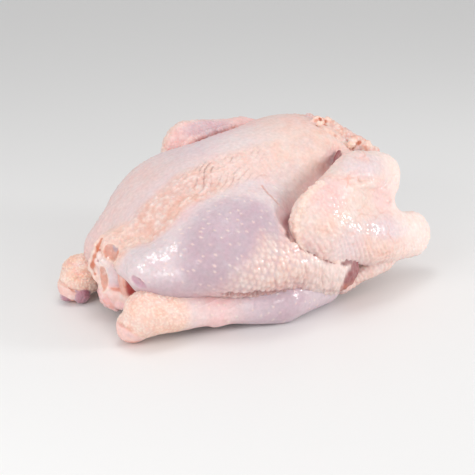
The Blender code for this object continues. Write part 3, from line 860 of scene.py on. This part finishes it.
    # Lilac on the tail's side and pink at its base, both lightened: painted light where the tail faces away
    # from the lamps, over its own colours
    paint(LILAC * 1.06, 0.7 * patch(*LIT_TAIL_SIDE))
    paint(PINK * 1.04, 0.6 * patch(*LIT_TAIL_BASE))
    paint(FLESH * 1.1, 0.75 * near_form(gap, 0.001, 0.006))
    gap_streaks = ridged(points * (1.0, 2.0, 0.5), 0.006, 0.35, 48)
    paint(ORANGE * 1.1, 0.55 * near_form(gap, 0.001, 0.005) * gap_streaks)
    streaks = ridged(points * (1.0, 2.0, 0.6), 0.007, 0.4, 48)
    recess = near_lump(TAIL_FLESH, 0.0004, 0.0016)
    paint(FLESH * 1.1, 0.85 * recess)
    paint(ORANGE, 0.45 * recess * streaks)
    # Maroon where the recess meets the thigh's lobe: painted shade in the crease, over red flesh
    paint(MAROON * (1.3, 1.0, 0.9), 0.9 * recess * ramp(-y, 0.041, 0.046))
    band = near_limb(TAIL_BAND, 0.0006, 0.002)
    paint(CREAM, 0.5 * band)
    paint(ORANGE * 1.1, 0.5 * band * near_form(np.abs(z - 0.0425), 0.0003, 0.0018))
    tail_end = patch(*TAIL_END)
    end_lump = grains(tail_end, 0.006, 49)
    rise += 0.0014 * tail_end * end_lump
    paint(CREAM, 0.4 * tail_end * ramp(end_lump, 0.2, 0.8))
    paint(PINK * 0.96, 0.5 * tail_end)
    paint(FLESH * 1.2, 0.5 * tail_end * (1 - ramp(end_lump, 0.0, 0.25)))
    paint(PEACH * 1.02, 0.7 * tail_skin)
    paint(CREAM, 0.5 * tail_skin * tail_grain)
    edge = limb(points, *CAVITY_EDGE)
    paint(RIM, 0.85 * near_limb(CAVITY_FLAP, 0.001, 0.003))
    paint(ORANGE * 0.95, 0.8 * near_form(edge, 0.0002, 0.0014))
    for wound in (GLAND_WOUND, VENT_SLIT):
        hole = ellipsoid(points, *wound)
        paint(CREAM, 0.8 * near_form(hole, 0.0016, 0.0032))
        paint(FLESH, near_form(hole, 0.0006, 0.0018))
    slit = near_lump(VENT_SLIT, 0.0006, 0.0018)
    paint(FLESH * 1.12, 0.7 * slit * (1 - ramp(z, 0.04, 0.054)))
    paint(WHITE_FAT, 0.6 * slit * ramp(z, 0.052, 0.06) * cloud(0.003, 66, 0.1, 0.5))
    crescent = patch(*WOUND_CRESCENT)
    paint(PURPLE * 0.9, 0.9 * crescent * near_lump(GLAND_WOUND, 0.0006, 0.0018))
    paint(BRUISE, 0.9 * near_form(limb(points, on_skin(NICK, masses), NICK_RADII), 0.0002, 0.002))
    paint(PINK, 0.7 * near_limb(TAIL_CREASE, 0.0, 0.003))
    for centre, radii in FAT_LUMPS:
        paint(WHITE_FAT, near_lump((centre, radii), 0.0008, 0.002))
    for centre, radius in BLOOD_SPOTS:
        away = away_from(points, centre)
        paint(MAROON * 1.6, 0.7 * near_form(away, radius, radius * 2.0))
    paint(PEACH, 0.6 * roll)
    paint(LILAC * 0.95, 0.6 * roll * cloud(0.012, 16, -0.2, 0.5))
    # Ivory on the roll's granules and flesh colour between them: painted light on their tops and painted
    # shade in the gaps
    paint(IVORY, 0.6 * roll * ramp(neck_grain, 0.3, 0.9))
    paint(FLESH, 0.45 * roll * (1 - ramp(neck_grain, 0.05, 0.45)))
    for centre, radii in NECK_SHREDS:
        shred = near_lump((centre, radii), 0.0006, 0.003)
        paint(CREAM, 0.6 * shred)
        paint(ORANGE * 1.15, 0.45 * shred * cloud(0.0045, 69, 0.1, 0.6))
    paint(CREAM, 0.6 * near_limb(NECK_GROOVE, -0.001, 0.002))
    for centre, radius in NECK_PITS:
        pit = away_from(points, centre) - radius + 0.0008 * noise(0.005, 64)
        paint(ORANGE * 0.85, 0.85 * near_form(pit, 0.0, 0.0016))

    return rise, surface.colour, np.maximum(wet, 0.6 * dense)


def wing_look(points, side):
    """As body_look, for a wing: ribs low on the forearm, pimples on the elbow."""
    surface = Surface(points, IVORY)
    paint, noise, cloud, patch = surface.paint, surface.noise, surface.cloud, surface.patch
    x, y, z = points.T
    fore = np.array(FOREARMS[side])
    axis = (fore[2] - fore[0]) / np.linalg.norm(fore[2] - fore[0])
    u = points @ axis
    v = z * 0.95 + x * 0.3
    low = 1 - ramp(v, 0.085, 0.125)
    ribs = np.abs(np.sin((u * 0.9 + v * 0.75) / 0.0066 * np.pi + 1.6 * noise(0.02, 21)))
    pimple = granules(points, 0.0046, 22)
    elbow = 1 - ramp(x, 0.01, 0.06)
    wrinkle = ridged(points * (0.6, 1.0, 1.7), 0.014, 0.12, 28) * cloud(0.025, 29, -0.4, 0.3)
    rise = low * 0.0011 * cloud(0.018, 30, -0.8, 0.4) * (ribs - 0.6) - 0.0008 * wrinkle
    rise += (0.0006 + 0.0007 * np.maximum(elbow, low * 0.4)) * pimple
    rise += 0.0016 * noise(0.03, 23) + 0.0005 * noise(0.01, 24)

    paint(PEACH, 0.35 + 0.45 * cloud(0.03, 25, -0.5, 0.6))
    paint(PINK, 0.6 * cloud(0.04, 26, 0.0, 0.8))
    paint(LILAC, 0.5 * cloud(0.045, 27, 0.1, 0.8))
    paint(PINK, 0.6 * patch(*WING_BLUSH))
    paint(LILAC, 0.7 * patch(*FOREARM_LILAC))
    paint(LILAC, 0.6 * patch(*UPPER_ARM_LILAC))
    paint(PINK * 0.9, 0.45 * low * (1 - ramp(ribs, 0.1, 0.5)))
    paint(FLESH * 1.1, 0.4 * wrinkle)
    paint(IVORY * 1.04, (0.25 + 0.35 * elbow) * pimple)
    edge_away = along_path(points, wing_edge(side))[0]
    paint(CREAM, 0.7 * near_form(edge_away, 0.003, 0.007))
    paint(IVORY * 1.12, 0.85 * ramp(x, 0.1, 0.17))
    if side == "far":
        paint(PINK * 0.95, 0.6 * (1 - ramp(y, 0.094, 0.106)))
        paint(PURPLE * 1.05, 0.6 * patch(*FAR_WING_PURPLE))
    ridge = near_form(along_path(points, WING_RIDGE)[0], 0.003, 0.01)
    rise += 0.0004 * ridge * noise(0.0045, 50)
    return rise, surface.colour, ridge


def leg_look(points, side):
    """As body_look, for a drumstick: a smooth calf, and grained skin on the hock's knob."""
    surface = Surface(points, PALE)
    paint, noise, cloud = surface.paint, surface.noise, surface.cloud
    near_lump, grains = surface.near_lump, surface.grains
    x, y, z = points.T
    knob = 1 - ramp(x, -0.16, -0.14)
    creases = HOCK_CREASES[side]
    past_crease = (points - np.array(creases[2])) @ np.array(HOCK_END_WAY[side])
    cut_end = knob * ramp(past_crease, 0.0005, 0.003)
    grain = grains(knob, 0.0028, 31)
    rise = 0.0011 * knob * (1 - 0.6 * cut_end) * grain
    rise += 0.001 * noise(0.03, 32) + 0.0005 * knob * noise(0.009, 35)
    wrinkling, apricot, rosy = HOCK_SHARES[side]
    flat = points * (1.0, 1.0, 1.8)
    rise -= wrinkling * knob * ridged(flat, 0.016, 0.16, 39)
    dot, dot_kind = follicles(x, z + y * 0.5, 0.0105, 33, 0.6)
    dot = (1 - knob) * near_form(dot, 0.08, 0.2) * ramp(dot_kind, 0.3, 0.6)
    sinew = ridged(points * (0.25, 1.5, 1.5), 0.012, 0.2, 36) * (1 - knob) * (1 - ramp(x, -0.1, -0.07))
    rise += 0.0005 * dot + 0.0006 * sinew
    calf = ramp(x, -0.11, -0.07)
    paint(LILAC * 0.96, 0.85 * calf)
    paint(PURPLE, 0.7 * calf * cloud(0.04, 34, -0.4, 0.6))
    paint(PINK, 0.6 * (1 - np.abs(ramp(x, -0.165, -0.06) * 2 - 1)))
    paint(DOT, 0.6 * dot)
    paint(CREAM, 0.8 * knob)
    paint(APRICOT, apricot * knob * cloud(0.018, 37, -0.3, 0.6))
    paint(PINK * 0.92, rosy * knob * ridged(flat, 0.016, 0.12, 39))
    paint(FLESH * 1.15, 0.32 * knob * (1 - 0.6 * cut_end) * (1 - ramp(grain, 0.05, 0.5)))
    paint(CREAM * 1.02, 0.5 * knob * (1 - 0.6 * cut_end) * ramp(grain, 0.35, 0.8))
    paint(PINK, 0.45 * cut_end)
    paint(LILAC, 0.35 * cut_end * cloud(0.01, 38, 0.0, 0.6))
    crease = near_form(limb(points, creases, [CREASE_RADIUS] * len(creases)), 0.0, 0.0016)
    paint(FLESH, 0.45 * crease * knob)
    paint(ORANGE * 1.1, 0.6 * knob * (1 - ramp(z, 0.003, 0.01)))
    for centre, radii in KNUCKLES[side]:
        bone = near_lump((centre, radii), 0.0002, 0.0014)
        # Knuckle colour with lilac on each knuckle's side toward +Y: painted light on the lit side and
        # painted shade on the other
        paint(KNUCKLE, bone)
        paint(LILAC, 0.75 * bone * ramp(y - centre[1], -0.006, 0.001))
    if side == "far":
        paint(WHITE_FAT, 0.9 * near_lump(GRISTLE, 0.0002, 0.0014))
    paint(PURPLE, 0.3 * calf * ramp(-x, -0.04, 0.01))
    return rise, surface.colour, 0.3 * calf


def link_piece(name, points, faces, normals, colours, wetness, materials):
    mesh = bpy.data.meshes.new(name)
    mesh.from_pydata(points.tolist(), [], faces.tolist())
    mesh.shade_smooth()
    mesh.normals_split_custom_set_from_vertices(normals.tolist())
    rgba = np.concatenate([colours, np.ones((len(colours), 1))], 1).astype(np.float32)
    mesh.attributes.new("skin_colour", "FLOAT_COLOR", "POINT").data.foreach_set("color", rgba.ravel())
    mesh.attributes.new("wet", "FLOAT", "POINT").data.foreach_set("value", wetness.astype(np.float32))
    for material in materials:
        mesh.materials.append(material)
    piece = bpy.data.objects.new(name, mesh)
    bpy.context.scene.collection.objects.link(piece)
    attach(piece, "root")
    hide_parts("turkey")
    print(name, len(faces) * 2, "triangles")


def skin(shape, look, cell, low, high):
    """Meshes the shape, settles its points on the skin, and raises and colours them by its look."""
    low, high = np.array(low), np.array(high)
    field = sampled_field(shape, low, high, cell)
    points, number = skin_vertices(field, low, cell)
    faces = skin_faces(field, number)
    for _ in range(2):
        points -= point_normals(points, faces) * shape(points)[:, None]
    normals = point_normals(points, faces)
    rise, colours, wetness = look(points)
    points += normals * (rise * ramp(points[:, 2], 0.001, 0.008))[:, None]
    points[:, 2] = np.maximum(points[:, 2], 0.0004)
    return (points - DRAWN_MIDDLE) * SCALE, faces, point_normals(points, faces), colours, wetness


def link_part(name, made, chosen, materials):
    """Links the chosen faces of a made skin as a piece of their own."""
    points, faces, normals, colours, wetness = made
    used, numbers = np.unique(faces[chosen], return_inverse=True)
    numbers = numbers.reshape(-1, 4)
    link_piece(name, points[used], numbers, normals[used], colours[used], wetness[used], materials)


def skin_material():
    material = bpy.data.materials.new("raw_skin")
    material.use_nodes = True
    nodes = material.node_tree.nodes
    links = material.node_tree.links
    shader = nodes["Principled BSDF"]

    def noise(scale, detail):
        place = nodes.new("ShaderNodeTexCoord")
        texture = nodes.new("ShaderNodeTexNoise")
        texture.inputs["Scale"].default_value = scale
        texture.inputs["Detail"].default_value = detail
        links.new(place.outputs["Object"], texture.inputs["Vector"])
        return texture.outputs["Fac"]

    def spread(value, low, high):
        """The noise's middle half, spread from low to high."""
        node = nodes.new("ShaderNodeMapRange")
        node.inputs["From Min"].default_value = 0.3
        node.inputs["From Max"].default_value = 0.7
        node.inputs["To Min"].default_value = low
        node.inputs["To Max"].default_value = high
        links.new(value, node.inputs["Value"])
        return node.outputs["Result"]

    def attribute(name):
        node = nodes.new("ShaderNodeAttribute")
        node.attribute_name = name
        return node.outputs

    def bump(height, distance, strength, socket):
        node = nodes.new("ShaderNodeBump")
        node.inputs["Distance"].default_value = distance
        node.inputs["Strength"].default_value = strength
        links.new(height, node.inputs["Height"])
        links.new(node.outputs["Normal"], shader.inputs[socket])

    def combined(operation, first, second):
        node = nodes.new("ShaderNodeMath")
        node.operation = operation
        node.use_clamp = operation == "ADD"
        for socket, value in zip(node.inputs, (first, second)):
            if isinstance(value, float):
                socket.default_value = value
            else:
                links.new(value, socket)
        return node.outputs["Value"]

    shade = nodes.new("ShaderNodeHueSaturation")
    links.new(attribute("skin_colour")["Color"], shade.inputs["Color"])
    links.new(spread(noise(260, 4), 0.93, 1.06), shade.inputs["Value"])
    links.new(spread(noise(90, 3), 0.85, 1.2), shade.inputs["Saturation"])
    links.new(shade.outputs["Color"], shader.inputs["Base Color"])
    links.new(spread(noise(60, 3), 0.4, 0.6), shader.inputs["Roughness"])
    patches = combined("MULTIPLY", attribute("wet")["Fac"], spread(noise(150, 4), 0.2, 1.5))
    links.new(combined("ADD", patches, THINNEST_FILM), shader.inputs["Coat Weight"])
    bump(noise(520, 3), PORE_DEPTH, 0.5, "Normal")
    bump(noise(230, 2), RIPPLE_DEPTH, 1.0, "Coat Normal")
    for socket, value in SKIN_FINISH.items():
        shader.inputs[socket].default_value = value
    return material


def make_bird():
    materials = [skin_material()]
    made = skin(body, body_look, BODY_CELL, (-0.225, -0.16, -0.008), (0.19, 0.155, 0.202))
    points, faces = made[:2]
    behind = points[faces[:, 0], 0] < BODY_SEAM_X
    link_part("rump_skin", made, behind, materials)
    link_part("breast_skin", made, ~behind, materials)
    for side, sign in (("near", -1), ("far", 1)):
        span = sorted((sign * 0.06, sign * 0.165))
        made = skin(lambda points: wing(points, side), lambda points: wing_look(points, side),
                    WING_CELL, (-0.06, span[0], -0.008), (0.225, span[1], 0.19))
        link_piece(side + "_wing_skin", *made, materials)
        span = sorted((sign * 0.03, sign * 0.155))
        made = skin(lambda points: drumstick(points, side), lambda points: leg_look(points, side),
                    LEG_CELL, (-0.23, span[0], -0.008), (0.075, span[1], 0.07))
        link_piece(side + "_drumstick_skin", *made, materials)


def plain_material(name, colour, roughness):
    material = bpy.data.materials.new(name)
    material.use_nodes = True
    shader = material.node_tree.nodes["Principled BSDF"]
    shader.inputs["Base Color"].default_value = (*colour, 1)
    shader.inputs["Roughness"].default_value = roughness
    return material


def make_stage():
    mesh = bpy.data.meshes.new("floor")
    half = FLOOR_HALF_WIDTH
    corners = [(-half, -half, 0), (half, -half, 0), (half, half, 0), (-half, half, 0)]
    mesh.from_pydata(corners, [], [(0, 1, 2, 3)])
    mesh.materials.append(plain_material("pale_floor", FLOOR_COLOUR, 0.5))
    floor = bpy.data.objects.new("floor", mesh)
    bpy.context.scene.collection.objects.link(floor)


def aim(thing, spot):
    thing.rotation_euler = (Vector(spot) - thing.location).to_track_quat("-Z", "Y").to_euler()


def soft_light(name, place, size, power):
    light = bpy.data.lights.new(name, "AREA")
    light.size = size
    light.energy = power
    lamp = bpy.data.objects.new(name, light)
    lamp.location = place
    bpy.context.scene.collection.objects.link(lamp)
    aim(lamp, LAMP_TARGET)


def make_light():
    world = bpy.data.worlds.new("studio")
    world.use_nodes = True
    world.node_tree.nodes["Background"].inputs["Color"].default_value = (1, 1, 1, 1)
    world.node_tree.nodes["Background"].inputs["Strength"].default_value = SKY_STRENGTH
    bpy.context.scene.world = world
    bpy.context.scene.view_settings.view_transform = "Standard"
    for lamp in LAMPS:
        soft_light(*lamp)


def make_camera():
    camera = bpy.data.cameras.new("camera")
    camera.sensor_width = SENSOR_WIDTH
    camera.lens = SENSOR_WIDTH * FOCAL_PIXELS / PICTURE_WIDTH
    camera.clip_start = 0.01
    eye = (np.array(CAMERA_PLACE) - DRAWN_MIDDLE) * SCALE
    azimuth, elevation = math.radians(CAMERA_AZIMUTH), math.radians(CAMERA_ELEVATION)
    level = math.cos(elevation)
    back = Vector((math.sin(azimuth) * level, -math.cos(azimuth) * level, math.sin(elevation)))
    seat = bpy.data.objects.new("camera", camera)
    seat.location = eye
    seat.rotation_euler = (-back).to_track_quat("-Z", "Y").to_euler()
    bpy.context.scene.collection.objects.link(seat)
    bpy.context.scene.camera = seat


make_camera()
make_stage()
make_light()
make_bird()
